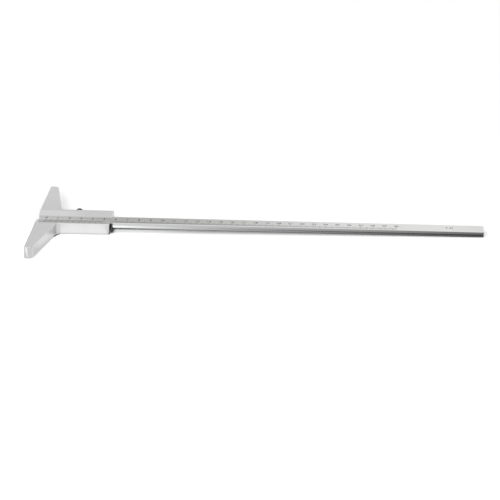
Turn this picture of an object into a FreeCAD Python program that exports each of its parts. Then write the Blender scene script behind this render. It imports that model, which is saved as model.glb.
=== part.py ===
"""Vernier depth gauge, range 0 to 300 mm, lying on its back with the scale face up.

Frame: X = 0 is the measuring plane and +X runs along the beam to its free end. Y runs across
the measuring base, with the clamp screw on the +Y side. Z = 0 is the back of the T-shaped frame.
All sizes are in millimetres.
"""
import FreeCAD, Part
import math
import os

from FreeCAD import Vector

# ---- T frame: measuring base with two wings, and the slider that carries the beam ----
base_length = 150.0           # tip to tip, along Y
frame_thickness = 9.6         # along Z
slider_width = 34.0           # along Y
slider_length = 64.0          # measuring plane to the slider's open end
wing_tip_depth = 6.8          # X of the rear edge, produced to the wing's end
wing_root_depth = 18.5        # X of the rear edge, produced to the slider's side
wing_tip_radius = 4.5         # rounded rear corner of each wing
wing_root_radius = 4.5        # fillet between wing and slider
slider_end_radius = 0.6       # upright corners at the slider's open end
relief_width = 24.0           # shallow arc between the two measuring faces, round the beam
relief_depth = 1.0
frame_chamfer = 0.35          # front and back edges, but not the sharp measuring edge

# ---- beam: the main scale ----
beam_length = 382.0
beam_width = 15.0
beam_thickness = 5.0
beam_offset = -3.0            # Y of the beam's centre line
beam_recess = 1.0             # scale face below the frame's front face
beam_chamfer = 0.45           # long edges
beam_end_radius = 1.0         # upright corners at the free end
tip_land = 3.0                # thickness left at the bevelled measuring end
tip_bevel_length = 2.0        # run of that bevel along X
slide_clearance = 0.02        # beam to slot, each side

# ---- window over the scale ----
far_lip_edge = 0.0            # Y of the lip that covers the beam's far part
lip_bevel = 0.6               # slope on that lip, so that the figures are read past it
near_lip_overlap = 1.3        # near lip and vernier plate over the beam's near edge

# ---- vernier plate ----
vernier_start = 3.0           # X of its left end; its right end is flush with the slider's
vernier_width = 6.8
vernier_end_gap = 0.05        # at its left end, in its rebate
screw_inset = 2.2             # screw centres from the plate's ends
screw_head_radius = 1.15
screw_head_depth = 0.55
screw_shank_radius = 0.75
screw_depth = 3.2             # overall, below the plate's face
screw_clearance = 0.02        # round the screws
driver_slot_width = 0.35
driver_slot_depth = 0.25

# ---- clamp screw, thrust pad and leaf spring ----
clamp_position = 33.2         # X of the clamp screw's axis
thread_radius = 2.0
thread_clearance = 0.05
thread_pitch = 0.7
knob_radius = 3.5
knob_length = 4.0
knob_gap = 0.6                # head to the slider's side when clamped
knob_dome = 0.4               # height of the rounded top
knurl_count = 28
knurl_depth = 0.22
collar_radius = 2.5           # smooth step under the head
collar_length = 0.4
pad_radius = 1.75
pad_length = 1.9
pad_gap = 0.02                # pad to spring when clamped, and pad to screw tip
swivel_radius = 0.7           # pin on the screw's tip, held in the pad
swivel_length = 1.0
swivel_clearance = 0.04
spring_thickness = 0.3
spring_height = 4.2
spring_length = 44.0
spring_rise = 0.9             # bow of the free spring
pocket_end_gap = 0.6          # pocket beyond each end of the spring
spring_gap = 0.02             # spring to beam and to the pocket's floor

# ---- places that follow from the sizes ----
beam_near = beam_offset - beam_width / 2
beam_far = beam_offset + beam_width / 2
beam_top = frame_thickness - beam_recess
beam_bottom = beam_top - beam_thickness
beam_middle = (beam_top + beam_bottom) / 2
slot_near = beam_near - slide_clearance
slot_far = beam_far + slide_clearance
slot_bottom = beam_bottom - slide_clearance
slot_top = beam_top + slide_clearance
near_lip_edge = beam_near + near_lip_overlap
half_slider = slider_width / 2
pocket_floor = beam_far + spring_gap + spring_rise + spring_thickness + spring_gap
pad_front = beam_far + spring_gap + spring_thickness + pad_gap
screw_tip = pad_front + pad_length + pad_gap
knob_base = half_slider + knob_gap
past = 1.0                    # how far a cutter runs past the face that it breaks through


def box(low, high):
    """Block between two opposite corners."""
    size = Vector(*high) - Vector(*low)
    return Part.makeBox(size.x, size.y, size.z, Vector(*low))


def cylinder_y(radius, start, end, x, z):
    """Cylinder along +Y from start to end."""
    return Part.makeCylinder(radius, end - start, Vector(x, start, z), Vector(0, 1, 0))


def corner_arc(before, corner, after, radius):
    """Start, middle and end of the arc that rounds a corner of an outline."""
    back = (before - corner).normalize()
    ahead = (after - corner).normalize()
    half_angle = back.getAngle(ahead) / 2
    run = radius / math.tan(half_angle)
    inward = (back + ahead).normalize()
    middle = corner + inward * (radius / math.sin(half_angle) - radius)
    return corner + back * run, middle, corner + ahead * run


def half_outline(side):
    """Edges of one half of the T, from its relief corner to the middle of the slider's end."""
    tip_y = side * base_length / 2
    side_y = side * half_slider
    corners = [
        (Vector(0, beam_offset + side * relief_width / 2, 0), 0),
        (Vector(0, tip_y, 0), 0),
        (Vector(wing_tip_depth, tip_y, 0), wing_tip_radius),
        (Vector(wing_root_depth, side_y, 0), wing_root_radius),
        (Vector(slider_length, side_y, 0), slider_end_radius),
        (Vector(slider_length, 0, 0), 0),
    ]
    edges = []
    last = corners[0][0]
    for number in range(1, len(corners)):
        point, radius = corners[number]
        if radius == 0:
            edges.append(Part.makeLine(last, point))
            last = point
            continue
        start, middle, end = corner_arc(corners[number - 1][0], point, corners[number + 1][0], radius)
        edges.append(Part.makeLine(last, start))
        edges.append(Part.Arc(start, middle, end).toShape())
        last = end
    return edges


def t_blank():
    """The T plate before the slot is cut. All its rims are chamfered but the measuring edge's."""
    relief = Part.Arc(
        Vector(0, beam_offset - relief_width / 2, 0),
        Vector(relief_depth, beam_offset, 0),
        Vector(0, beam_offset + relief_width / 2, 0),
    ).toShape()
    edges = half_outline(1) + half_outline(-1) + [relief]
    wire = Part.Wire(Part.sortEdges(edges)[0])
    blank = Part.Face(wire).extrude(Vector(0, 0, frame_thickness)).removeSplitter()
    rims = [
        edge
        for edge in blank.Edges
        if edge.BoundBox.ZLength < 0.001 and edge.BoundBox.XMax > relief_depth + 0.001
    ]
    return blank.makeChamfer(frame_chamfer, rims)


def screw_places():
    """X of the two vernier screws."""
    return [
        vernier_start + screw_inset,
        slider_length - screw_inset,
    ]


def vernier_middle():
    """Y of the vernier plate's centre line."""
    return near_lip_edge - vernier_width / 2


def vernier_block(spare):
    """The vernier plate's block, with spare at its left end. It runs out past the slider's end."""
    return box(
        (vernier_start - spare, near_lip_edge - vernier_width, slot_top),
        (slider_length + past, near_lip_edge, frame_thickness),
    )


def spring_pocket():
    """Pocket in the slot's far wall that holds the leaf spring."""
    half = spring_length / 2 + pocket_end_gap
    return box(
        (clamp_position - half, slot_far - past, slot_bottom),
        (clamp_position + half, pocket_floor, slot_top),
    )


def lip_slope():
    """Wedge that bevels the far lip's edge along the window."""
    low_y = far_lip_edge - past
    low_z = frame_thickness - lip_bevel - past
    reach = lip_bevel + 2 * past
    profile = Part.makePolygon([
        Vector(-past, low_y, low_z),
        Vector(-past, low_y + reach, low_z + reach),
        Vector(-past, low_y, low_z + reach),
        Vector(-past, low_y, low_z),
    ])
    return Part.Face(profile).extrude(Vector(slider_length + 2 * past, 0, 0))


def vernier_screw(x, spare):
    """Countersunk screw at x, grown by spare all round."""
    y = vernier_middle()
    head = Part.makeCone(
        screw_shank_radius + spare,
        screw_head_radius + spare,
        screw_head_depth,
        Vector(x, y, frame_thickness - screw_head_depth),
    )
    bottom = frame_thickness - screw_depth - spare
    shank = Part.makeCylinder(
        screw_shank_radius + spare,
        frame_thickness - screw_head_depth - bottom,
        Vector(x, y, bottom),
    )
    return head.fuse(shank).removeSplitter()


def make_t_frame():
    """The T body with its slot, window, vernier seat, spring pocket and clamp hole."""
    body = t_blank()
    cuts = [
        box((-past, slot_near, slot_bottom), (slider_length + past, slot_far, slot_top)),
        box(
            (-past, near_lip_edge, slot_top - past),
            (slider_length + past, far_lip_edge, frame_thickness + past),
        ),
        lip_slope(),
        vernier_block(vernier_end_gap),
        spring_pocket(),
        cylinder_y(thread_radius, pocket_floor - past, half_slider + past, clamp_position, beam_middle),
    ]
    for x in screw_places():
        cuts.append(vernier_screw(x, screw_clearance))
    return body.cut(cuts).removeSplitter()


def make_beam():
    """Flat bar with a bevelled measuring end and rounded corners at the free end."""
    bar = box((0, beam_near, beam_bottom), (beam_length, beam_far, beam_top))
    upright = [
        edge
        for edge in bar.Edges
        if edge.BoundBox.ZLength > beam_thickness / 2 and edge.CenterOfMass.x > beam_length / 2
    ]
    bar = bar.makeFillet(beam_end_radius, upright)
    long_edges = [
        edge
        for edge in bar.Edges
        if edge.BoundBox.XLength > beam_length / 2
    ]
    bar = bar.makeChamfer(beam_chamfer, long_edges)
    bevel = Part.makePolygon([
        Vector(-past, beam_near - past, beam_bottom + tip_land),
        Vector(0, beam_near - past, beam_bottom + tip_land),
        Vector(tip_bevel_length, beam_near - past, beam_top),
        Vector(tip_bevel_length, beam_near - past, beam_top + past),
        Vector(-past, beam_near - past, beam_top + past),
        Vector(-past, beam_near - past, beam_bottom + tip_land),
    ])
    cutter = Part.Face(bevel).extrude(Vector(0, beam_width + 2 * past, 0))
    return bar.cut(cutter)


def make_vernier_plate():
    """Strip in the near rail, flush with the frame's front and end, with two countersunk holes."""
    plate = t_blank().common(vernier_block(0))
    for x in screw_places():
        plate = plate.cut(vernier_screw(x, screw_clearance))
    return plate


def make_vernier_screws():
    """The two countersunk screws with their driver slots."""
    screws = []
    for x in screw_places():
        slot = box(
            (x - driver_slot_width / 2, -base_length, frame_thickness - driver_slot_depth),
            (x + driver_slot_width / 2, base_length, frame_thickness + past),
        )
        screws.append(vernier_screw(x, 0).cut(slot))
    return Part.makeCompound(screws)


def make_leaf_spring():
    """Bowed strip: its middle bears on the beam's edge, its ends on the pocket's floor."""
    half = spring_length / 2
    inner = beam_far + spring_gap
    outer = inner + spring_thickness
    bottom = beam_middle - spring_height / 2

    def bow(y, reverse):
        ends = [
            Vector(clamp_position - half, y + spring_rise, bottom),
            Vector(clamp_position + half, y + spring_rise, bottom),
        ]
        if reverse:
            ends.reverse()
        return Part.Arc(ends[0], Vector(clamp_position, y, bottom), ends[1]).toShape()

    near = bow(inner, False)
    far = bow(outer, True)
    ends = [
        Part.makeLine(near.lastVertex().Point, far.firstVertex().Point),
        Part.makeLine(far.lastVertex().Point, near.firstVertex().Point),
    ]
    wire = Part.Wire([near, ends[0], far, ends[1]])
    return Part.Face(wire).extrude(Vector(0, 0, spring_height))


def make_clamp_pad():
    """Round brass pad with a blind hole for the swivel pin."""
    pad = cylinder_y(pad_radius, pad_front, pad_front + pad_length, clamp_position, beam_middle)
    hole_end = pad_front + pad_length + past
    hole_start = screw_tip - swivel_length - swivel_clearance
    hole = cylinder_y(swivel_radius + swivel_clearance, hole_start, hole_end, clamp_position, beam_middle)
    return pad.cut(hole)


def knob_head():
    """Knurled head: a fluted cylinder with a low domed top."""
    top = knob_base + knob_length
    shoulder = top - knob_dome
    rim = Vector(knob_radius, shoulder, 0)
    crown = Vector(0, top, 0)
    sphere_radius = (knob_radius ** 2 + knob_dome ** 2) / (2 * knob_dome)
    half_angle = math.asin(knob_radius / sphere_radius) / 2
    middle = Vector(
        sphere_radius * math.sin(half_angle),
        top - sphere_radius * (1 - math.cos(half_angle)),
        0,
    )
    profile = Part.Wire([
        Part.makeLine(Vector(0, knob_base, 0), Vector(knob_radius, knob_base, 0)),
        Part.makeLine(Vector(knob_radius, knob_base, 0), rim),
        Part.Arc(rim, middle, crown).toShape(),
        Part.makeLine(crown, Vector(0, knob_base, 0)),
    ])
    head = Part.Face(profile).revolve(Vector(0, 0, 0), Vector(0, 1, 0), 360)
    groove_radius = math.pi * knob_radius / knurl_count * 0.7
    grooves = []
    for number in range(knurl_count):
        angle = 2 * math.pi * number / knurl_count
        reach = knob_radius + groove_radius - knurl_depth
        grooves.append(cylinder_y(
            groove_radius,
            knob_base - past,
            top + past,
            reach * math.cos(angle),
            reach * math.sin(angle),
        ))
    head = head.cut(grooves)
    head.translate(Vector(clamp_position, 0, beam_middle))
    return head


def make_clamp_screw():
    """Thumb screw: knurled head, collar, threaded shank and swivel pin."""
    shank_radius = thread_radius - thread_clearance
    collar_end = knob_base - collar_length
    pieces = [
        cylinder_y(collar_radius, collar_end, knob_base, clamp_position, beam_middle),
        cylinder_y(shank_radius, screw_tip, collar_end, clamp_position, beam_middle),
        cylinder_y(swivel_radius, screw_tip - swivel_length, screw_tip, clamp_position, beam_middle),
    ]
    return knob_head().fuse(pieces).removeSplitter()


nodes = {
    "t_frame": make_t_frame(),
    "beam": make_beam(),
    "vernier_plate": make_vernier_plate(),
    "vernier_screws": make_vernier_screws(),
    "leaf_spring": make_leaf_spring(),
    "clamp_pad": make_clamp_pad(),
    "clamp_screw": make_clamp_screw(),
}

os.makedirs("parts", exist_ok=True)
for name, shape in nodes.items():
    shape.exportStep("parts/" + name + ".step")
    print(name, "solids", len(shape.Solids), "valid", shape.isValid(), "volume", round(shape.Volume, 2))
print("clamp travel per radian, mm:", round(thread_pitch / (2 * math.pi), 5))
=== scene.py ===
import math

import bpy
import numpy as np
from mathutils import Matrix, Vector


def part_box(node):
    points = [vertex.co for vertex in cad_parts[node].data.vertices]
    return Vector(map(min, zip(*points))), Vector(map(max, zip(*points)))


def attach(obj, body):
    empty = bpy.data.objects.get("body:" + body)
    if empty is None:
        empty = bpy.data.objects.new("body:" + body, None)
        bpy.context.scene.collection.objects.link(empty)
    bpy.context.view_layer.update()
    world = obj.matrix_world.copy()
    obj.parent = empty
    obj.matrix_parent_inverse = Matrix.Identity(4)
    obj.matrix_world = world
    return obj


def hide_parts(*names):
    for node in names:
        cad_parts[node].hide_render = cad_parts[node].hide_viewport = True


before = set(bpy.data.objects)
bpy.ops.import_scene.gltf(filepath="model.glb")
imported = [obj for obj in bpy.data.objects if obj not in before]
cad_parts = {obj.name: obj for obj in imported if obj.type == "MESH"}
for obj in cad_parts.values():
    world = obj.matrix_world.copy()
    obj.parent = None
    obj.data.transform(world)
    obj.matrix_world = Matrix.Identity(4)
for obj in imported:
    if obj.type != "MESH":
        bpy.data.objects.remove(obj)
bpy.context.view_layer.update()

MM = 0.001


def box_mm(node):
    """Lowest and highest corner of a CAD node, in millimetres."""
    low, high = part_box(node)
    return np.array(low) / MM, np.array(high) / MM


FRAME_LOW, FRAME_HIGH = box_mm("t_frame")
BEAM_LOW, BEAM_HIGH = box_mm("beam")
PLATE_LOW, PLATE_HIGH = box_mm("vernier_plate")
SCREWS_LOW, SCREWS_HIGH = box_mm("vernier_screws")
KNOB_LOW, KNOB_HIGH = box_mm("clamp_screw")
SLIDER_HALF = 17.0            # half the slider's width

# ---- camera: long lens, low over the near side of the gauge ----
CAMERA_AZIMUTH = math.radians(4.02)
CAMERA_ELEVATION = math.radians(21.4)
CAMERA_DISTANCE = 1.838
CAMERA_TARGET = Vector((0.187, -0.0565, 0.005))
CAMERA_LENS = 159.0

# ---- graduations, in millimetres ----
ZERO_LINE = 7.8               # X of the zero of both scales
MAIN_RANGE = 300              # length of the main scale
MAIN_START = 0.45             # first end of its lines, in from the beam's near edge
MAIN_LENGTHS = (3.4, 4.6, 6.0)
MAIN_NUMBER_HEIGHT = 2.6
MAIN_NUMBER_PLACE = 8.7       # middle of the numbers, in from the beam's near edge
VERNIER_LINES = 50
VERNIER_PITCH = 0.98          # 50 divisions cover 49 mm
VERNIER_LENGTHS = (1.9, 2.7)
VERNIER_NUMBER_HEIGHT = 1.6
VERNIER_NUMBER_PLACE = 4.3    # middle of the numbers, from the plate's inner edge
LINE_WIDTH = 0.26
NUMBER_STROKE = 0.5
SMALL_NUMBER_STROKE = 0.28
READING_PLACE = 353.0         # X of the printed reading step
READING_HEIGHT = 2.0
INK_RISE = 0.008              # ink stands this much above the metal
INK_DEPTH = 0.05              # and fills the engraving this far below it

# ---- clamp screw, in millimetres ----
THREAD_PITCH = 0.7
THREAD_RADIUS = 1.95
THREAD_DEPTH = 0.4
PIN_RADIUS = 0.7
PIN_LENGTH = 1.0
COLLAR_RADIUS = 2.5
COLLAR_LENGTH = 0.4
HEAD_RADIUS = 3.5
HEAD_LENGTH = 4.0
HEAD_DOME = 0.4
HEAD_BEVEL = 0.4
KNURL_COUNT = 28
KNURL_DEPTH = 0.3
SCREW_COLUMNS = 8 * KNURL_COUNT


class Value:
    """A socket in a node tree. Arithmetic on it adds Math nodes."""

    def __init__(self, graph, socket):
        self.graph = graph
        self.socket = socket

    def __add__(self, other):
        return self.graph.math("ADD", self, other)

    def __sub__(self, other):
        return self.graph.math("SUBTRACT", self, other)

    def __rsub__(self, other):
        return self.graph.math("SUBTRACT", other, self)

    def __mul__(self, other):
        return self.graph.math("MULTIPLY", self, other)

    def __truediv__(self, other):
        return self.graph.math("DIVIDE", self, other)

    def __pow__(self, other):
        return self.graph.math("POWER", self, other)

    def __gt__(self, other):
        return self.graph.math("GREATER_THAN", self, other)

    def __lt__(self, other):
        return self.graph.math("LESS_THAN", self, other)

    def __abs__(self):
        return self.graph.math("ABSOLUTE", self)

    __radd__ = __add__
    __rmul__ = __mul__


class Graph:
    """The node tree of a material or of the world."""

    def __init__(self, tree):
        self.tree = tree
        tree.nodes.clear()

    def node(self, kind, settings=None, inputs=None, output=0):
        """Makes a node, with its settings before its sockets' values and links, and gives one output."""
        node = self.tree.nodes.new(kind)
        for name, value in (settings or {}).items():
            if name == "stops":
                self.set_stops(node.color_ramp, value)
            else:
                setattr(node, name, value)
        for name, value in (inputs or {}).items():
            if isinstance(value, Value):
                self.tree.links.new(value.socket, node.inputs[name])
            else:
                node.inputs[name].default_value = value
        return Value(self, node.outputs[output]) if len(node.outputs) > 0 else None

    def set_stops(self, ramp, stops):
        """Puts (place, grey) or (place, colour) stops into a colour ramp."""
        while len(ramp.elements) < len(stops):
            ramp.elements.new(1.0)
        for element, (place, colour) in zip(ramp.elements, stops):
            element.position = place
            if isinstance(colour, (int, float)):
                colour = (colour, colour, colour)
            element.color = (*colour, 1.0)

    def math(self, operation, first, second=0.0):
        return self.node("ShaderNodeMath", {"operation": operation}, {0: first, 1: second})

    def smooth(self, value, low, high, start=0.0, end=1.0):
        """Goes smoothly from start to end as value goes from low to high."""
        return self.node(
            "ShaderNodeMapRange",
            {"interpolation_type": "SMOOTHSTEP"},
            {"Value": value, "From Min": low, "From Max": high, "To Min": start, "To Max": end},
        )

    def place(self):
        """Object coordinates, in millimetres."""
        point = self.node("ShaderNodeTexCoord", output="Object")
        return self.node("ShaderNodeVectorMath", {"operation": "SCALE"}, {0: point, "Scale": 1 / MM})

    def facing(self):
        """The surface's own direction in the object's frame."""
        return self.node("ShaderNodeTexCoord", output="Normal")

    def axes(self, vector):
        """The X, Y and Z of a vector."""
        node = self.node("ShaderNodeSeparateXYZ", inputs={"Vector": vector}).socket.node
        return [Value(self, output) for output in node.outputs]

    def noise(self, point, density, detail=2.0):
        """Noise from 0 to 1, with so many features per millimetre along X, Y and Z."""
        stretched = self.node("ShaderNodeVectorMath", {"operation": "MULTIPLY"}, {0: point, 1: density})
        return self.node("ShaderNodeTexNoise", inputs={"Vector": stretched, "Scale": 1.0, "Detail": detail})

    def mix(self, factor, first, second):
        """A colour between two colours."""
        first, second = [
            value if isinstance(value, Value) else (*value, 1.0)
            for value in (first, second)
        ]
        return self.node(
            "ShaderNodeMix",
            {"data_type": "RGBA"},
            {0: factor, 6: first, 7: second},
            output=2,
        )

    def surface(self, colour, roughness, metallic=1.0, height=None, depth=0.0, specular=0.5):
        """Ends a material in a Principled shader, with a height map of the given depth in millimetres."""
        inputs = {
            "Base Color": colour,
            "Roughness": roughness,
            "Metallic": metallic,
            "Specular IOR Level": specular,
        }
        if height is not None:
            inputs["Normal"] = self.node(
                "ShaderNodeBump",
                inputs={"Strength": 1.0, "Distance": depth * MM, "Height": height},
            )
        shader = self.node("ShaderNodeBsdfPrincipled", inputs=inputs)
        self.node("ShaderNodeOutputMaterial", inputs={"Surface": shader})


def new_material(name):
    """A material and the graph that it is written in."""
    material = bpy.data.materials.new(name)
    material.use_nodes = True
    return material, Graph(material.node_tree)


# ---- finishes ----
TIP_LENGTH = 4.0              # part of a wing's end that is ground with the tip
FAR_RAIL_MIDDLE = 7.0         # Y of the far rail's middle
FAR_RAIL_HALF = 7.5
WING_REAR = 15.0              # X behind the measuring face where the root fillets begin
# grey of the painted black shade on the near rail's end face
PAINTED_END_SHADE = 0.02
RING_DENSITY = 90.0           # turning marks on the plate screws, in radians per millimetre
TOOL_DENSITY = 60.0           # and on the brass pad


def grey(level):
    return (level, level, level)


def near_end(place, facing):
    """1 on the near rail's end face, which gets painted black shade."""
    return (facing[0] > 0.9) * (place[0] > FRAME_HIGH[0] - 0.5) * (place[1] < PLATE_HIGH[1])


def satin_chrome():
    """Satin chrome on the T frame: even fine grain, bright chamfers, lapped measuring faces.

    It has painted light where the far rail crosses the measuring base and out along the far wing, and its
    chamfers are made bright as a painted highlight. It has painted shade on the window's lip, the root
    fillets and the wings' rear sides, and painted black shade on the near rail's end.
    The measuring faces and the wing tips are ground smoother than the rest.
    """
    material, graph = new_material("satin_chrome")
    point = graph.place()
    place = graph.axes(point)
    facing = graph.axes(graph.facing())
    x, y, _ = place
    out = abs(y)
    upright = abs(facing[2])
    vertical = upright < 0.3
    chamfer = (upright > 0.3) * (upright < 0.95)
    lapped = facing[0] < -0.95
    lip = chamfer * (out < 1.0)
    rear = (facing[0] > 0.97) * (out > SLIDER_HALF + 2.0)
    turned_rear = (facing[0] > 0.1) * (facing[0] < 0.97)
    fillet = turned_rear * (out > SLIDER_HALF) * (x > WING_REAR) * vertical
    tips = (out > FRAME_HIGH[1] - TIP_LENGTH) * vertical
    painted_end_shade = near_end(place, facing)
    clouds = graph.noise(point, (0.05, 0.05, 0.05))
    grain = graph.noise(point, (5.0, 5.0, 5.0), 3.0)
    strokes = graph.noise(point, (0.4, 0.4, 9.0))
    shade = graph.smooth(clouds, 0.3, 0.7, -0.02, 0.02)
    # painted light: a lighter band where the far rail crosses the measuring base, and along the far wing
    on_rail = graph.smooth(abs(y - FAR_RAIL_MIDDLE), FAR_RAIL_HALF, FAR_RAIL_HALF - 2.0)
    crossing_painted_light = on_rail * graph.smooth(x, 45.0, 20.0)
    far_wing_painted_light = graph.smooth(y, 18.0, 50.0)
    # the chamfer term is a painted highlight; the lapped faces and the clouds are the finish's own tone
    bright = 0.05 + crossing_painted_light * 0.16 + lapped * 0.05 + far_wing_painted_light * 0.07 + chamfer * 0.08 + shade
    colour = graph.mix(bright * 4.0, grey(0.74), grey(0.93))
    # painted shade: darker on the window's lip, the root fillets and the wings' rear sides
    colour = graph.mix(lip, colour, grey(0.59))
    colour = graph.mix(fillet, colour, grey(0.61))
    colour = graph.mix(rear, colour, grey(0.68))
    # painted shade: the near rail's end face is painted near black
    colour = graph.mix(painted_end_shade, colour, grey(PAINTED_END_SHADE))
    ground = (lapped + tips) * (0.2 - strokes * 0.08)
    roughness = 0.3 + grain * 0.08 - ground - chamfer * 0.08 + painted_end_shade * 0.5
    height = grain * (1 - lapped * 0.8) + strokes * lapped * 0.3
    graph.surface(colour, roughness, height=height, depth=0.004)
    return material


def ground_steel():
    """Beam: matt scale face with a fine lengthwise grain, ground and polished edges.

    The scale face has painted light: it is painted lightest at the measuring end and on the free part, a
    little darker again towards the free end, and greyest just past the slider at rest, with a line of
    painted shade along the near edge there.
    """
    material, graph = new_material("ground_steel")
    point = graph.place()
    x, y, _ = graph.axes(point)
    _, y_facing, z_facing = graph.axes(graph.facing())
    face = graph.smooth(z_facing, 0.85, 0.95)
    side = abs(y_facing) > 0.9
    streaks = graph.noise(point, (0.03, 7.0, 7.0), 3.0)
    grain = graph.noise(point, (1.2, 9.0, 9.0))
    clouds = graph.noise(point, (0.02, 0.2, 0.2))
    polished = graph.mix(streaks, (0.72, 0.73, 0.74), grey(0.88))
    # painted light along the beam's face: lightest at the measuring end and on the free part, greyest
    # between
    measuring_end = graph.smooth(x, 78.0, 0.0)
    free_part = graph.smooth(x, 100.0, 270.0) - graph.smooth(x, 345.0, 380.0) * 0.25
    # painted shade: a dark line along the near edge of the face beside the slider
    along_edge = graph.smooth(y, BEAM_LOW[1] + 1.8, BEAM_LOW[1] + 0.9)
    painted_edge_shade = along_edge * graph.smooth(x, 130.0, 70.0)
    matt = graph.mix(clouds, (0.52, 0.52, 0.505), (0.56, 0.555, 0.54))
    matt = graph.mix(measuring_end, matt, (0.8, 0.8, 0.79))
    matt = graph.mix(free_part, matt, (0.78, 0.78, 0.77))
    matt = graph.mix(painted_edge_shade * 0.4, matt, (0.3, 0.3, 0.29))
    colour = graph.mix(face, polished, matt)
    roughness = 0.14 + face * 0.14 - side * 0.05 + grain * 0.05
    height = streaks * 0.5 * (1 - face) + grain * face
    graph.surface(colour, roughness, height=height, depth=0.002)
    return material


def scale_chrome():
    """Vernier plate: matt chrome, darker than the frame, with bright edges and painted black shade on the
    rail's end.
    """
    material, graph = new_material("scale_chrome")
    point = graph.place()
    facing = graph.axes(graph.facing())
    edge = graph.smooth(facing[2], 0.95, 0.8)
    grain = graph.noise(point, (1.5, 8.0, 8.0), 3.0)
    painted_end_shade = near_end(graph.axes(point), facing)
    colour = graph.mix(edge, (0.52, 0.52, 0.515), grey(0.78))
    # painted shade: the near rail's end face is painted near black
    colour = graph.mix(painted_end_shade, colour, grey(PAINTED_END_SHADE))
    graph.surface(colour, 0.3 + grain * 0.1 + painted_end_shade * 0.5, height=grain, depth=0.003)
    return material


def bright_steel():
    """Vernier screws: turned heads with fine rings round each screw's own centre.

    Both centres lie on one line, so the distance to the nearer one folds X about the line's middle.
    """
    material, graph = new_material("bright_steel")
    x, y, _ = graph.axes(graph.place())
    middle = (SCREWS_LOW + SCREWS_HIGH) / 2
    size = SCREWS_HIGH - SCREWS_LOW
    across = abs(x - middle[0]) - (size[0] - size[1]) / 2
    along = y - middle[1]
    radius = (across * across + along * along) ** 0.5
    rings = graph.math("SINE", radius * RING_DENSITY) * 0.5 + 0.5
    colour = graph.mix(rings, grey(0.62), (0.75, 0.75, 0.74))
    graph.surface(colour, 0.22 + rings * 0.06, height=rings, depth=0.003)
    return material


def spring_steel():
    """Leaf spring: blued strip, straw coloured in patches, rolled lengthwise."""
    material, graph = new_material("spring_steel")
    point = graph.place()
    tint = graph.noise(point, (0.15, 0.3, 0.3))
    rolled = graph.noise(point, (0.1, 8.0, 8.0))
    colour = graph.mix(graph.smooth(tint, 0.35, 0.7), (0.2, 0.26, 0.4), (0.42, 0.36, 0.27))
    graph.surface(colour, 0.25 + rolled * 0.1, height=rolled, depth=0.003)
    return material


def turned_brass():
    """Thrust pad: turned brass, darker where it has tarnished."""
    material, graph = new_material("brass")
    point = graph.place()
    _, y, _ = graph.axes(point)
    marks = graph.math("SINE", y * TOOL_DENSITY) * 0.5 + 0.5
    tarnish = graph.noise(point, (0.8, 0.8, 0.8))
    colour = graph.mix(graph.smooth(tarnish, 0.4, 0.75), (0.82, 0.6, 0.27), (0.5, 0.34, 0.15))
    graph.surface(colour, 0.24 + tarnish * 0.15, height=marks, depth=0.004)
    return material


def black_oxide():
    """Clamp screw: black oxide, worn to steel on the knurl's tips and the thread's crests."""
    material, graph = new_material("black_oxide")
    point = graph.place()
    x, y, z = graph.axes(point)
    centre = (KNOB_LOW + KNOB_HIGH) / 2
    across = x - centre[0]
    up = z - centre[2]
    radius = (across * across + up * up) ** 0.5
    under_head = KNOB_HIGH[1] - HEAD_LENGTH
    head = graph.smooth(y, under_head - 0.1, under_head)
    patches = graph.noise(point, (0.7, 0.7, 0.7), 4.0)
    grain = graph.noise(point, (6.0, 6.0, 6.0), 3.0)
    tips = graph.smooth(radius + patches * 0.12, HEAD_RADIUS - 0.03, HEAD_RADIUS + 0.05) * head
    crests = graph.smooth(radius, THREAD_RADIUS - 0.06, THREAD_RADIUS) * (1 - head) * 0.4
    worn = (tips * 0.15 + crests) * graph.smooth(patches, 0.45, 0.65)
    colour = graph.mix(worn, (0.01, 0.01, 0.011), grey(0.38))
    graph.surface(colour, 0.4 + grain * 0.12, metallic=worn, height=grain, depth=0.004, specular=0.08)
    return material


def scale_ink(name, shade):
    """Engraving ink: matt and nearly black, a little uneven."""
    material, graph = new_material(name)
    spread = graph.noise(graph.place(), (2.0, 2.0, 2.0))
    colour = graph.mix(spread, grey(shade), grey(shade * 2.5))
    graph.surface(colour, 0.7 + spread * 0.2, metallic=0.0, specular=0.1)
    return material


# ---- surfaces ----
def tube_faces(rings, columns, closed):
    """Quads between neighbouring closed rings of points; closed also joins the last ring to the first."""
    ring = np.arange(rings if closed else rings - 1)[:, None]
    column = np.arange(columns)[None, :]
    ahead = (ring + 1) % rings
    beside = (column + 1) % columns
    corners = [
        ring * columns + column,
        ahead * columns + column,
        ahead * columns + beside,
        ring * columns + beside,
    ]
    return np.stack(corners, axis=-1).reshape(-1, 4)


def make_piece(name, points, faces, material, body, smooth=False):
    """A mesh from points in millimetres and lists of faces, riding on a body."""
    mesh = bpy.data.meshes.new(name)
    mesh.from_pydata((points * MM).tolist(), [], [face for group in faces for face in group.tolist()])
    mesh.polygons.foreach_set("use_smooth", [smooth] * len(mesh.polygons))
    mesh.materials.append(material)
    mesh.update()
    piece = bpy.data.objects.new(name, mesh)
    bpy.context.scene.collection.objects.link(piece)
    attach(piece, body)
    return piece


def join(parts):
    """Several (points, faces) made one, each part's faces moved up past the points before it."""
    counts = [len(points) for points, faces in parts]
    starts = np.cumsum([0] + counts[:-1])
    points = np.concatenate([points for points, faces in parts])
    faces = np.concatenate([faces + start for (_, faces), start in zip(parts, starts)])
    return points, faces


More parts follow.
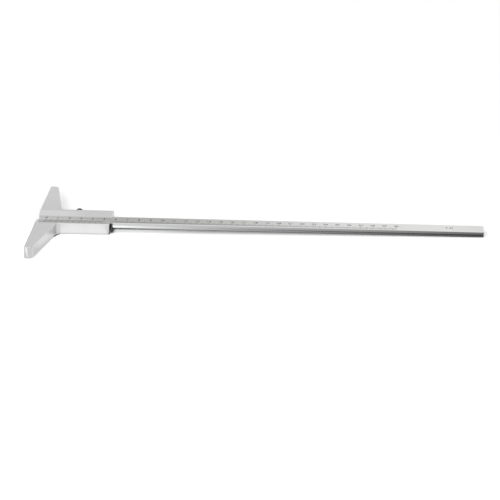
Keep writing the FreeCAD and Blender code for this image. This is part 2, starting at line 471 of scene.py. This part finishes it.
def bars(low, high):
    """A closed box for each row of low and high corners: each corner takes low or high along X, Y and Z."""
    sign = np.array([
        [0, 0, 0], [1, 0, 0], [1, 1, 0], [0, 1, 0],
        [0, 0, 1], [1, 0, 1], [1, 1, 1], [0, 1, 1],
    ])
    sides = np.array([
        [0, 3, 2, 1], [4, 5, 6, 7], [0, 1, 5, 4],
        [1, 2, 6, 5], [2, 3, 7, 6], [3, 0, 4, 7],
    ])
    points = low[:, None, :] + sign * (high - low)[:, None, :]
    faces = sides + len(sign) * np.arange(len(low))[:, None, None]
    return points.reshape(-1, 3), faces.reshape(-1, 4)


def stroke(line, closed, width, bottom, top):
    """A square-edged ribbon along a flat line.

    Each point is offset to both sides by half the width along the mitre, the mean of the normals
    of its two segments over its squared length, held to a blunt corner where the line doubles back.
    """
    ahead = np.roll(line, -1, axis=0) - line
    if not closed:
        ahead[-1] = ahead[-2]
    ahead /= np.linalg.norm(ahead, axis=1)[:, None]
    behind = np.roll(ahead, 1, axis=0)
    if not closed:
        behind[0] = ahead[0]
    normal = np.stack([-ahead[:, 1] - behind[:, 1], ahead[:, 0] + behind[:, 0]], axis=1)
    offset = normal * (width / np.maximum(np.sum(normal ** 2, axis=1), 1.4))[:, None]
    left = line + offset
    right = line - offset
    ring = [
        np.column_stack([left, np.full(len(line), bottom)]),
        np.column_stack([right, np.full(len(line), bottom)]),
        np.column_stack([right, np.full(len(line), top)]),
        np.column_stack([left, np.full(len(line), top)]),
    ]
    points = np.stack(ring, axis=1).reshape(-1, 3)
    faces = tube_faces(len(line), 4, closed)
    if not closed:
        ends = np.array([[0, 1, 2, 3], [3, 2, 1, 0]])
        ends[1] += len(points) - 4
        faces = np.concatenate([faces, ends])
    return points, faces


# ---- figures, each in a box 0.6 wide and 1 high ----
def arc(centre, radii, start, end):
    """Points of an ellipse's arc from start to end, in degrees."""
    angle = np.radians(np.linspace(start, end, 2 + int(abs(end - start) / 15)))
    return np.column_stack([
        centre[0] + radii[0] * np.cos(angle),
        centre[1] + radii[1] * np.sin(angle),
    ])


def line(*corners):
    return np.array(corners, dtype=float)


def loop(centre, radii):
    """A whole ellipse, without its repeated last point."""
    return arc(centre, radii, 0, 360)[:-1]


def turned(strokes):
    """The same strokes, turned half way round the middle of the box."""
    return [(np.array([0.6, 1.0]) - points, closed) for points, closed in strokes]


FIGURE_WIDTH = 0.6
FIGURE_STEP = 0.8
SIX = [
    (loop((0.3, 0.3), (0.25, 0.26)), True),
    (arc((0.5, 0.3), (0.45, 0.64), 180, 95), False),
]
FIGURES = {
    "0": [(loop((0.3, 0.5), (0.26, 0.46)), True)],
    "1": [(line((0.12, 0.78), (0.34, 0.96), (0.34, 0.04)), False)],
    "2": [(np.concatenate([
        arc((0.3, 0.7), (0.25, 0.26), 170, -35),
        line((0.05, 0.04), (0.56, 0.04)),
    ]), False)],
    "3": [
        (arc((0.28, 0.73), (0.22, 0.23), 150, -90), False),
        (arc((0.28, 0.27), (0.26, 0.23), 90, -150), False),
    ],
    "4": [
        (line((0.42, 0.04), (0.42, 0.96)), False),
        (line((0.42, 0.96), (0.04, 0.3), (0.58, 0.3)), False),
    ],
    "5": [(np.concatenate([
        line((0.52, 0.96), (0.14, 0.96), (0.1, 0.55)),
        arc((0.29, 0.33), (0.26, 0.29), 125, -140),
    ]), False)],
    "6": SIX,
    "7": [(line((0.05, 0.96), (0.55, 0.96), (0.2, 0.04)), False)],
    "8": [
        (loop((0.3, 0.73), (0.2, 0.22)), True),
        (loop((0.3, 0.27), (0.25, 0.25)), True),
    ],
    "9": turned(SIX),
    ".": [(line((0.3, 0.0), (0.3, 0.14)), False)],
}


def number(text, centre, height, width, bottom, top):
    """The strokes of a number, centred on a point."""
    full = FIGURE_STEP * (len(text) - 1) + FIGURE_WIDTH
    parts = []
    for place, figure in enumerate(text):
        corner = np.array([FIGURE_STEP * place - full / 2, -0.5])
        for points, closed in FIGURES[figure]:
            parts.append(stroke((points + corner) * height + centre, closed, width, bottom, top))
    return join(parts)


def scale_lines(places, start, lengths, bottom, top):
    """A bar for each line of a scale, from start along Y by its own length."""
    low_y = np.minimum(start, start + lengths)
    high_y = np.maximum(start, start + lengths)
    flat = np.ones(len(places))
    low = np.column_stack([places - LINE_WIDTH / 2, low_y, flat * bottom])
    high = np.column_stack([places + LINE_WIDTH / 2, high_y, flat * top])
    return bars(low, high)


def beam_scale(ink):
    """Main scale: a line every millimetre, longer at 5 and 10, and the centimetres numbered."""
    bottom = BEAM_HIGH[2] - INK_DEPTH
    top = BEAM_HIGH[2] + INK_RISE
    index = np.arange(MAIN_RANGE + 1)
    lengths = np.choose((index % 5 == 0) * 1 + (index % 10 == 0), MAIN_LENGTHS)
    parts = [scale_lines(ZERO_LINE + index, BEAM_LOW[1] + MAIN_START, lengths, bottom, top)]
    row = BEAM_LOW[1] + MAIN_NUMBER_PLACE
    for ten in range(MAIN_RANGE // 10 + 1):
        centre = np.array([ZERO_LINE + 10 * ten, row])
        parts.append(number(str(ten), centre, MAIN_NUMBER_HEIGHT, NUMBER_STROKE, bottom, top))
    reading = np.array([READING_PLACE, row - 1.0])
    parts.append(number("0.02", reading, READING_HEIGHT, NUMBER_STROKE, bottom, top))
    points, faces = join(parts)
    make_piece("beam_scale", points, [faces], ink, "scale_beam")


def vernier_scale(ink):
    """Vernier: 50 divisions over 49 mm from the plate's inner edge, longer and numbered at every fifth."""
    bottom = PLATE_HIGH[2] - INK_DEPTH
    top = PLATE_HIGH[2] + INK_RISE
    inner = PLATE_HIGH[1]
    index = np.arange(VERNIER_LINES + 1)
    lengths = -np.choose(index % 5 == 0, VERNIER_LENGTHS)
    parts = [scale_lines(ZERO_LINE + index * VERNIER_PITCH, inner, lengths, bottom, top)]
    for tenth in range(VERNIER_LINES // 5 + 1):
        centre = np.array([ZERO_LINE + 5 * tenth * VERNIER_PITCH, inner - VERNIER_NUMBER_PLACE])
        text = str(tenth % 10)
        parts.append(number(text, centre, VERNIER_NUMBER_HEIGHT, SMALL_NUMBER_STROKE, bottom, top))
    points, faces = join(parts)
    make_piece("vernier_scale", points, [faces], ink, "slider_frame")


def clamp_screw(material):
    """Clamp screw, one closed surface round its own axis.

    The radius is a function of the place along the axis and the angle. On the shank the root depth
    times a clipped triangle wave of (place over pitch minus turns) is taken off, which winds the
    thread. On the head a triangle wave of the angle cuts the knurl, and the smaller of that radius
    and a 45 degree bevel, or the dome, is kept.
    """
    start = KNOB_LOW[1]
    top = KNOB_HIGH[1]
    under = top - HEAD_LENGTH
    collar = under - COLLAR_LENGTH
    pin = start + PIN_LENGTH
    centre = (KNOB_LOW + KNOB_HIGH) / 2
    turns = np.arange(SCREW_COLUMNS) / SCREW_COLUMNS
    thread_rows = np.linspace(pin, collar, 1 + 12 * int((collar - pin) / THREAD_PITCH))
    crown = np.sin(np.linspace(0, np.pi / 2, 9))
    shoulder = top - HEAD_DOME
    head_rows = np.concatenate([
        np.linspace(under, under + HEAD_BEVEL, 5),
        np.linspace(under + HEAD_BEVEL, shoulder - HEAD_BEVEL, 9)[1:],
        np.linspace(shoulder - HEAD_BEVEL, shoulder, 5)[1:],
    ])

    def plain(place, radius):
        return np.full((1, SCREW_COLUMNS), place), np.full((1, SCREW_COLUMNS), radius)

    def threaded(rows):
        phase = (rows[:, None] / THREAD_PITCH - turns) % 1
        flank = np.clip(np.abs(phase - 0.5) * 2.6 - 0.2, 0, 1)
        lead = np.clip((rows - pin) / THREAD_PITCH, 0.0, 1.0)[:, None]
        radius = THREAD_RADIUS - THREAD_DEPTH * np.maximum(flank, 0.9 * (1 - lead))
        return np.broadcast_to(rows[:, None], radius.shape), radius

    def knurled(rows):
        wave = np.abs((turns * KNURL_COUNT) % 1 - 0.5) * 2
        ridges = HEAD_RADIUS - KNURL_DEPTH * np.clip(wave * 1.25 - 0.12, 0, 1)
        from_end = np.minimum(rows - under, shoulder - rows)[:, None]
        radius = np.minimum(ridges[None, :], HEAD_RADIUS - HEAD_BEVEL + from_end)
        return np.broadcast_to(rows[:, None], radius.shape), radius

    def domed(fractions):
        rim = HEAD_RADIUS - HEAD_BEVEL
        radius = rim * np.cos(np.arcsin(fractions))[:, None] * np.ones((1, SCREW_COLUMNS))
        place = np.broadcast_to((shoulder + HEAD_DOME * fractions)[:, None], radius.shape)
        return place, radius

    sections = [
        plain(start, PIN_RADIUS - 0.1),
        plain(start + 0.1, PIN_RADIUS),
        plain(pin, PIN_RADIUS),
        threaded(thread_rows),
        plain(collar, COLLAR_RADIUS - 0.1),
        plain(collar + 0.1, COLLAR_RADIUS),
        plain(under, COLLAR_RADIUS),
        knurled(head_rows),
        domed(crown[1:-1]),
    ]
    places = np.concatenate([place for place, radius in sections])
    radii = np.concatenate([radius for place, radius in sections])
    angle = 2 * np.pi * turns
    ring_points = np.stack([
        centre[0] + radii * np.cos(angle),
        places,
        centre[2] + radii * np.sin(angle),
    ], axis=-1).reshape(-1, 3)
    poles = np.array([[centre[0], start, centre[2]], [centre[0], top, centre[2]]])
    points = np.concatenate([ring_points, poles])
    column = np.arange(SCREW_COLUMNS)
    beside = (column + 1) % SCREW_COLUMNS
    last = len(ring_points) - SCREW_COLUMNS
    first_pole = np.full(SCREW_COLUMNS, len(ring_points))
    fans = [
        np.column_stack([first_pole, column, beside]),
        np.column_stack([first_pole + 1, last + beside, last + column]),
    ]
    faces = [tube_faces(len(places), SCREW_COLUMNS, False)] + fans
    piece = make_piece("knurled_clamp_screw", points, faces, material, "thumb_screw")
    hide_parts("clamp_screw")


# ---- stage, in millimetres ----
FLOOR_HALF = 3000.0
FLOOR_START = 64.0            # X where the frame's rear edge meets the floor
FLOOR_END = 382.0             # X where the beam's free end meets it
FLOOR_RISE = 3.6              # height of the beam's back above the frame's
WING_TIP = 6.8                # depth of a wing at its tip
WING_SLOPE = 0.2              # and how fast it grows towards the slider
# the dark line of this width is a painted contact shadow, drawn by taking the floor's glow away
RIM = 0.9                     # width of the dark line round the frame's foot
COVER_REACH = 20.0            # how far the floor looks for a beam above it
FILLET_CENTRE = (22.2, -21.5)  # of the near corner between wing and slider
FILLET_RADIUS = 4.5
FOOT_SHIFT = 1.4              # the light inside that corner ends in a circle this much nearer

# ---- painted reflection: the grey card before the beam, as polished metal sees it ----
CARD_START = 84.0             # X where its upper band begins to fade
CARD_END = 350.0              # and X of the fade's end
CARD_DEPTH = 50.0             # from the beam's side out to the card's soft outer edge
CARD_DARK = 0.03              # grey of the strip nearest to the beam
IMAGE_SLANT = 0.133           # how far a spot's image slides along the beam's side, per distance
IMAGE_RISE = 0.3919           # and how far it rises up that side, per distance
LOWER_BAND = 4.1              # height where the image of each band begins
MIDDLE_BAND = 5.2
UPPER_BAND = 6.15

# ---- light; the lamp in metres and watts ----
EVEN_LIGHT = 0.78             # brightness of the surroundings for matt surfaces
FRONT_LIGHT = 0.9             # for metal, before the gauge
ABOVE_LIGHT = 0.93            # straight above it
BACK_LIGHT = 1.6              # and behind it, times the studio's own grey there
KEY_PLACE = Vector((-0.35, -1.33, 0.92))
KEY_SIZE = 0.45
KEY_POWER = 6.0


def light_path(graph, output):
    return graph.node("ShaderNodeLightPath", output=output)


def emission(graph, strength):
    return graph.node("ShaderNodeEmission", inputs={"Color": (1, 1, 1, 1), "Strength": strength})


def mix_shader(graph, factor, first, second):
    return graph.node("ShaderNodeMixShader", inputs={0: factor, 1: first, 2: second})


def blend(first, second, factor):
    """Goes from first to second as factor goes from 0 to 1."""
    return first + (second - first) * factor


def footprint(graph, x, y, rim):
    """1 on the floor under the frame and in a rim round it, half as wide round the slider."""
    out = abs(y)
    wing = WING_TIP + rim + (FRAME_HIGH[1] - out) * WING_SLOPE
    under_wing = (x < wing) * (out < FRAME_HIGH[1] + rim)
    under_slider = (x < FRAME_HIGH[0] + rim / 2) * (out < SLIDER_HALF + rim / 2)
    return graph.math("MAXIMUM", under_wing, under_slider) * (x > 0.0)


def beam_cover(graph, x, y):
    """1 on the floor behind the slider where the beam stands close over it, and 0 where it has gone."""
    inputs = {"Distance": COVER_REACH * MM}
    open_sky = graph.node("ShaderNodeAmbientOcclusion", {"samples": 8}, inputs, output=1)
    return (y < BEAM_HIGH[1]) * (x > FLOOR_START) * graph.smooth(open_sky, 0.97, 0.85)


def grey_card(graph, source, reach):
    """Grey of the card where its image stands at source along the beam and reach up its side.

    The upper band fades in a straight line along the beam, the middle and lower ones as
    exponentials. Behind the slider the card begins a little later low down than high up.
    """
    fall = CARD_START - source
    upper = graph.math("MAXIMUM", 0.75 + fall * (0.5 / (CARD_END - CARD_START)), 0.15)
    middle = graph.math("EXPONENT", fall / 75.0) * 1.2
    lower = graph.math("EXPONENT", fall / 140.0) * 1.05
    card = blend(CARD_DARK, lower, graph.smooth(reach, LOWER_BAND, LOWER_BAND + 0.2))
    card = card + (middle - lower) * graph.smooth(reach, MIDDLE_BAND, MIDDLE_BAND + 0.15)
    card = card + (upper - middle) * graph.smooth(reach, UPPER_BAND, UPPER_BAND + 0.2)
    behind = source - FLOOR_START + graph.smooth(reach, 4.2, 5.0)
    return card * graph.smooth(behind, 2.6, 3.2)


def open_paper(graph, x, y):
    """Paper for metal, with a painted lit patch before the slider, a painted bright strip off the near
    wing's tip that shows as a glint on that tip, and slightly darker paper past the tip.
    """
    past_wing = x - (y + SLIDER_HALF) * 0.15
    before_slider = graph.smooth(y, -62.0, -38.0) * graph.smooth(y, -19.0, -21.0)
    lit = graph.smooth(past_wing, 20.5, 21.8) * before_slider
    past_tip = y < FRAME_LOW[1]
    from_strip = abs(x - 3.75 - (y - FRAME_LOW[1]) * 0.235)
    strip = graph.smooth(from_strip, 1.4, 0.7) * graph.smooth(y, -78.0, -94.0, 0.25, 0.6)
    return 0.82 + lit * 0.3 + past_tip * (strip - 0.07)


def inner_corner(graph, x, y):
    """1 before the near corner of wing and slider, for light that both have mirrored; it paints shade into
    that corner through the mirrored floor.
    """
    before_wing = x + (y + SLIDER_HALF) * WING_SLOPE
    inward = (y + SLIDER_HALF) * 1.66 + (x - 18.5) * 3.275
    corner = graph.smooth(before_wing, 23.2, 22.2) * graph.smooth(inward, 5.0, 6.5)
    return corner * (light_path(graph, "Ray Depth") > 1.5)


def mirrored_floor(graph, x, y, z, beam):
    """Brightness of the floor for polished metal, a painted reflection: paper, the card before the beam,
    and painted shade under the gauge and before the near inner corner.
    """
    distance = BEAM_LOW[1] - y
    source = x + distance * IMAGE_SLANT
    reach = distance * IMAGE_RISE + z
    across = graph.smooth(distance, -0.5, 0.0) * graph.smooth(distance, CARD_DEPTH + 10, CARD_DEPTH)
    along = graph.smooth(source, FLOOR_START - 0.1, FLOOR_START + 0.2)
    level = blend(open_paper(graph, x, y), grey_card(graph, source, reach), across * along)
    under_beam = beam * (distance < 0.0)
    under = graph.math("MAXIMUM", under_beam, footprint(graph, x, y, 0.0))
    # painted shade for metal: dark under the gauge, darkest under the beam, then darker before the near
    # inner corner
    level = blend(level, 0.55 - under_beam * 0.5, under)
    return level * (1 - inner_corner(graph, x, y) * 0.9)


def corner_foot(graph, x, y):
    """1 in the painted shadow, a dark sickle at the foot of the fillet between near wing and slider."""
    across = x - FILLET_CENTRE[0]
    out = y - FILLET_CENTRE[1]
    nearer = out + FOOT_SHIFT
    from_centre = (across ** 2.0 + nearer ** 2.0) ** 0.5
    sickle = graph.smooth(from_centre, FILLET_RADIUS - 1.0, FILLET_RADIUS - 0.2)
    sickle = sickle * (from_centre < FILLET_RADIUS + 3.0) * graph.smooth(across, 0.0, -2.0)
    return sickle * (out > -2.0) * (y < -SLIDER_HALF)


def beam_glow(graph, x, distance):
    """Glow of the paper round the beam: even along its free part, in two steps under it near the slider,
    which paint its shadow there.
    """
    stepped = graph.smooth(distance, -8.4, -5.8) * 0.5 - graph.smooth(distance, -4.5, -1.5) * 0.13
    glow = blend(0.2, stepped, graph.smooth(x, 150.0, 80.0))
    return glow * graph.smooth(x, FLOOR_START + 1.0, FLOOR_START + 5.0)


def seen_floor(graph, x, y, beam):
    """What the eye sees: pale paper that glows, so that the gauge's shadow stays faint.

    The glow is weaker on the far side, under the beam and round the frame's foot, which paints the gauge's
    shadow there, and the paper is painted dark as shadow in the pocket where the beam leaves the slider and
    in the sickle at the near corner's foot.
    """
    distance = BEAM_LOW[1] - y
    foot = corner_foot(graph, x, y)
    behind_slider = graph.smooth(x, FLOOR_START + 4.0, FLOOR_START + 1.0)
    pocket = behind_slider * graph.smooth(distance, 3.0, -1.0) * beam
    # painted shadow: the paper is darkened in the sickle at the corner's foot and in the pocket behind the
    # slider
    paper = graph.mix(foot * 0.7 + pocket * 0.75, grey(0.95), grey(0.0))
    level = graph.smooth(y, -10.0, 10.0, 0.6, 0.22)
    level = blend(level, beam_glow(graph, x, distance), graph.smooth(distance, 6.0, 1.0) * beam)
    beside = graph.math("MAXIMUM", footprint(graph, x, y, RIM) * 0.6, foot)
    diffuse = graph.node("ShaderNodeBsdfDiffuse", inputs={"Color": paper})
    glow = emission(graph, level * (1 - beside))
    return graph.node("ShaderNodeAddShader", inputs={0: diffuse, 1: glow})


def make_floor():
    """A pale floor, sloped to touch the frame's rear edge and the beam's free end."""
    slope = FLOOR_RISE / (FLOOR_END - FLOOR_START)
    corners = np.array([[-1, -1], [1, -1], [1, 1], [-1, 1]]) * FLOOR_HALF
    heights = (corners[:, 0] - FLOOR_START) * slope
    mesh = bpy.data.meshes.new("floor")
    mesh.from_pydata((np.column_stack([corners, heights]) * MM).tolist(), [], [[0, 1, 2, 3]])
    floor = bpy.data.objects.new("floor", mesh)
    bpy.context.scene.collection.objects.link(floor)
    material, graph = new_material("floor")
    mesh.materials.append(material)
    x, y, z = graph.axes(graph.place())
    beam = beam_cover(graph, x, y)
    seen = seen_floor(graph, x, y, beam)
    mirrored = emission(graph, mirrored_floor(graph, x, y, z, beam))
    surface = mix_shader(graph, light_path(graph, "Is Glossy Ray"), seen, mirrored)
    graph.node("ShaderNodeOutputMaterial", inputs={"Surface": surface})


def make_world():
    """White to the eye and even light for matt surfaces.

    Metal sees a studio: even before the gauge and above it, and behind it a little darker to the
    left than in the middle, and dark to the right.
    """
    world = bpy.data.worlds.new("studio")
    bpy.context.scene.world = world
    world.use_nodes = True
    graph = Graph(world.node_tree)
    x, y, z = graph.axes(graph.node("ShaderNodeTexCoord", output="Generated"))
    level = (x * x + y * y) ** 0.5
    rightward = x / graph.math("MAXIMUM", level, 0.001)
    stops = [(0.0, 0.42), (0.43, 0.42), (0.455, 0.47), (0.48, 0.56), (0.51, 0.63), (0.8, 0.5), (1.0, 0.2)]
    ramp = graph.node("ShaderNodeValToRGB", {"stops": stops}, {"Fac": rightward * 0.5 + 0.5})
    behind, *_ = graph.axes(ramp)
    around = blend(FRONT_LIGHT, behind * BACK_LIGHT, graph.smooth(y, -0.1, 0.1))
    mirrored = blend(around, ABOVE_LIGHT, graph.smooth(z, 0.7, 0.95))
    strength = blend(EVEN_LIGHT, mirrored, light_path(graph, "Is Glossy Ray"))
    strength = blend(strength, 1.0, light_path(graph, "Is Camera Ray"))
    white = (1, 1, 1, 1)
    background = graph.node("ShaderNodeBackground", inputs={"Color": white, "Strength": strength})
    graph.node("ShaderNodeOutputWorld", inputs={"Surface": background})


def make_key():
    """One soft lamp, low before the gauge's left. Metal reflects the studio, not the lamp."""
    data = bpy.data.lights.new("key", "AREA")
    data.shape = "SQUARE"
    data.size = KEY_SIZE
    data.energy = KEY_POWER
    lamp = bpy.data.objects.new("key", data)
    lamp.location = KEY_PLACE
    lamp.visible_glossy = False
    lamp.visible_camera = False
    lamp.rotation_mode = "QUATERNION"
    lamp.rotation_quaternion = (CAMERA_TARGET - KEY_PLACE).to_track_quat("-Z", "Y")
    bpy.context.scene.collection.objects.link(lamp)


def make_camera():
    """A camera that looks at the target from the given azimuth and elevation."""
    back = Vector((
        math.sin(CAMERA_AZIMUTH) * math.cos(CAMERA_ELEVATION),
        -math.cos(CAMERA_AZIMUTH) * math.cos(CAMERA_ELEVATION),
        math.sin(CAMERA_ELEVATION),
    ))
    data = bpy.data.cameras.new("camera")
    data.sensor_width = 36.0
    data.lens = CAMERA_LENS
    data.clip_start = 0.1
    data.clip_end = 100.0
    camera = bpy.data.objects.new("camera", data)
    bpy.context.scene.collection.objects.link(camera)
    camera.location = CAMERA_TARGET + back * CAMERA_DISTANCE
    camera.rotation_mode = "QUATERNION"
    camera.rotation_quaternion = (-back).to_track_quat("-Z", "Y")
    bpy.context.scene.camera = camera


def finish_node(name, material):
    """Gives a CAD node its finish."""
    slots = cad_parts[name].data.materials
    slots.clear()
    slots.append(material)


make_camera()
make_floor()
make_world()
make_key()
finish_node("t_frame", satin_chrome())
finish_node("beam", ground_steel())
finish_node("vernier_plate", scale_chrome())
finish_node("vernier_screws", bright_steel())
finish_node("leaf_spring", spring_steel())
finish_node("clamp_pad", turned_brass())
black = black_oxide()
finish_node("clamp_screw", black)
beam_scale(scale_ink("beam_ink", 0.02))
vernier_scale(scale_ink("vernier_ink", 0.03))
clamp_screw(black)
bpy.context.scene.view_settings.view_transform = "Standard"
